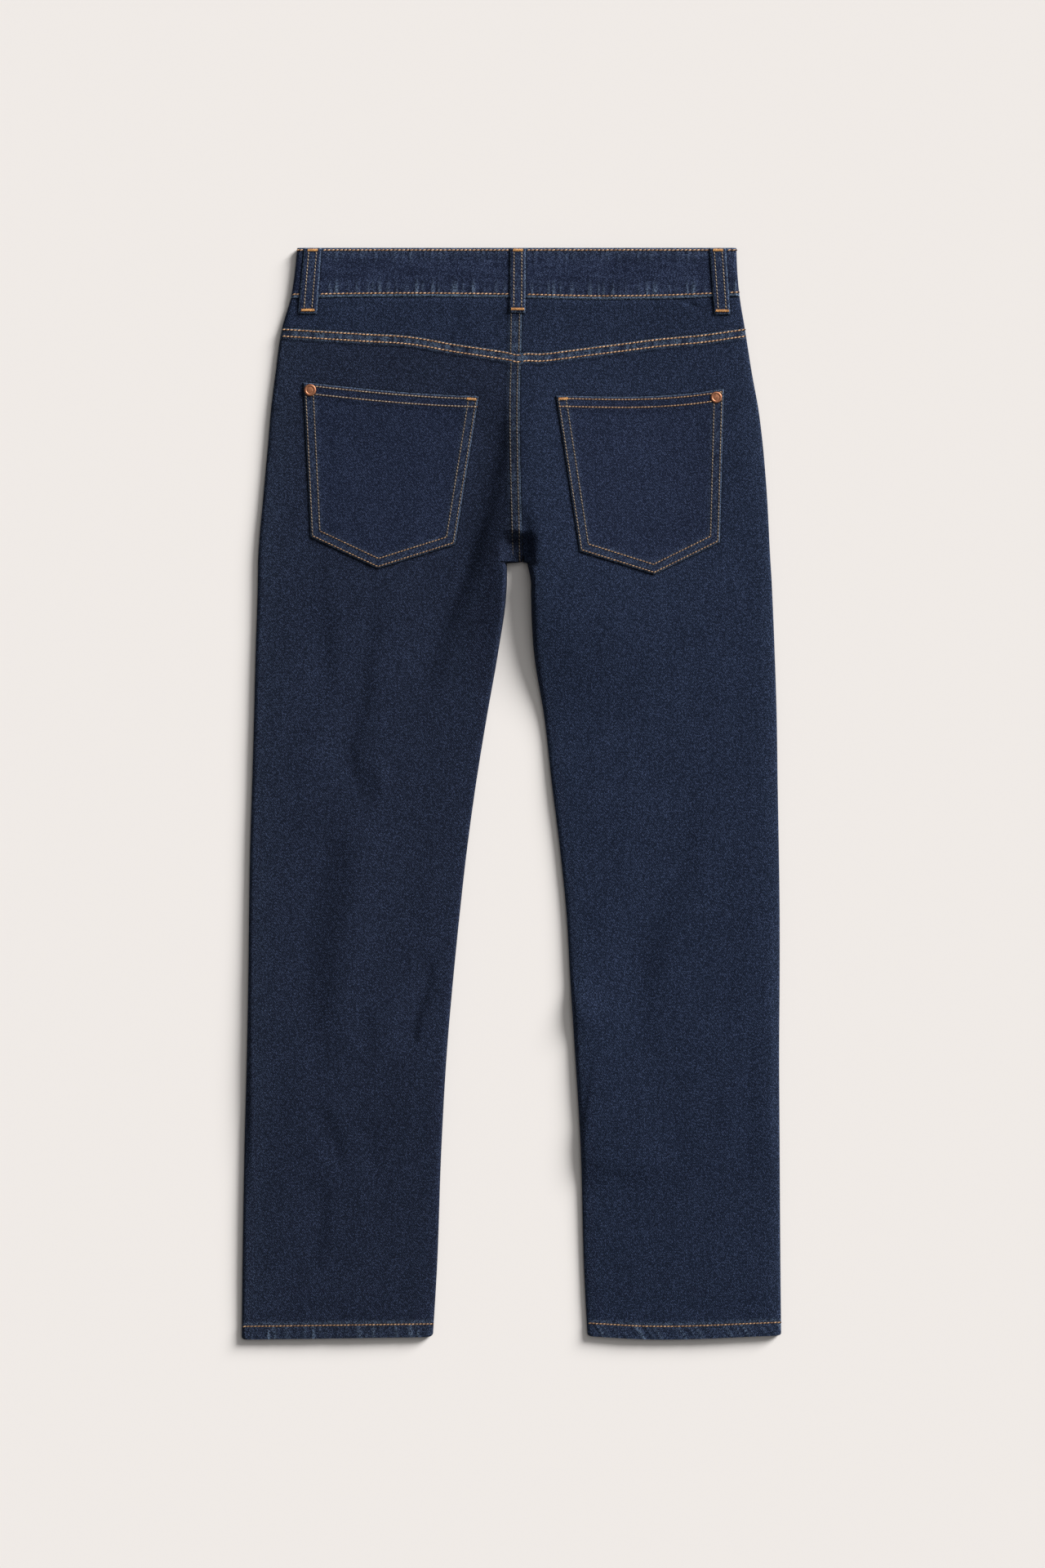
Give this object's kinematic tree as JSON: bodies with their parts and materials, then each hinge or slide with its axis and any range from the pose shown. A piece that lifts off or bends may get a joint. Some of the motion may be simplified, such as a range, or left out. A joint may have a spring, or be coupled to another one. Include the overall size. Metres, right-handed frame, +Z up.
{
  "type": "straight leg jeans",
  "caption": "Dark indigo denim straight leg jeans laid flat with the back up: waistband with belt loops, yoke, patch pockets with copper rivets, and stitched hems.",
  "frame": {"origin": "middle of the garment's plan outline, on the surface it lies on", "axes": "+Y from the hems to the waistband, +Z up out of the back of the jeans, +X to the wearer's right"},
  "size_m": [0.4699, 0.95, 0.0202],
  "materials": {
    "denim": "dark indigo cotton twill, matt, slightly worn along the seam edges",
    "denim_band": "the same twill, puckered along its stitching",
    "copper": "copper plated brass, satin",
    "brass": "aged brass, satin"
  },
  "bodies": {
    "root": {"back_left": "denim", "back_right": "denim", "yoke_left": "denim", "yoke_right": "denim", "waistband_back": "denim_band", "waistband_front_left": "denim_band", "waistband_front_right": "denim_band", "front_left": "denim", "front_right": "denim", "facing_left": "denim", "facing_right": "denim", "pocket_left": "denim", "pocket_right": "denim", "loop_side_left": "denim_band", "loop_centre_back": "denim_band", "loop_side_right": "denim_band", "rivet_left": "copper", "rivet_right": "copper", "button_waist": "brass"}
  },
  "joints": []
}
